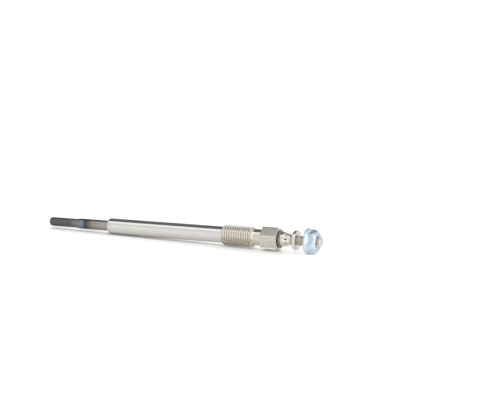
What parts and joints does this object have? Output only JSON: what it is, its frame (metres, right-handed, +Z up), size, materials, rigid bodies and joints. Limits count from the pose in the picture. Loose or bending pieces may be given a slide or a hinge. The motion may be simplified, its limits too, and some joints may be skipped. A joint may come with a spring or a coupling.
{
  "type": "diesel glow plug",
  "caption": "Diesel engine glow plug: slim heat-tinted heater tube in a plated threaded housing with a hexagon, and a threaded terminal with crimped collar and flange nut.",
  "frame": {"origin": "on the plug's axis, where the nose's sealing cone meets the shank", "axes": "+X along the axis from the heater tip to the terminal, +Z up, with the plug lying on its side"},
  "size_m": [0.1237, 0.0098, 0.0098],
  "materials": {
    "nickel_plate": "polished",
    "heat_tinted_alloy": "satin",
    "heating_wire": "satin",
    "regulating_wire": "satin",
    "magnesia": "matte",
    "seal_rubber": "matte",
    "rod_steel": "satin",
    "ring_rubber": "matte",
    "phenolic": "satin",
    "collar_nickel": "satin",
    "blue_zinc": "satin"
  },
  "bodies": {
    "plug": {"housing": "nickel_plate", "heater_sheath": "heat_tinted_alloy", "heating_coil": "heating_wire", "regulating_coil": "regulating_wire", "magnesia_fill": "magnesia", "sheath_seal": "seal_rubber", "centre_rod": "rod_steel", "o_ring": "ring_rubber", "insulator_bush": "phenolic", "round_nut": "collar_nickel"},
    "nut": {"terminal_nut": "blue_zinc"}
  },
  "joints": [
    {"name": "nut_travel", "type": "slide", "parent": "plug", "child": "nut", "axis": [1, 0, 0], "range_m": [-0.00365, 0.0051]}
  ]
}
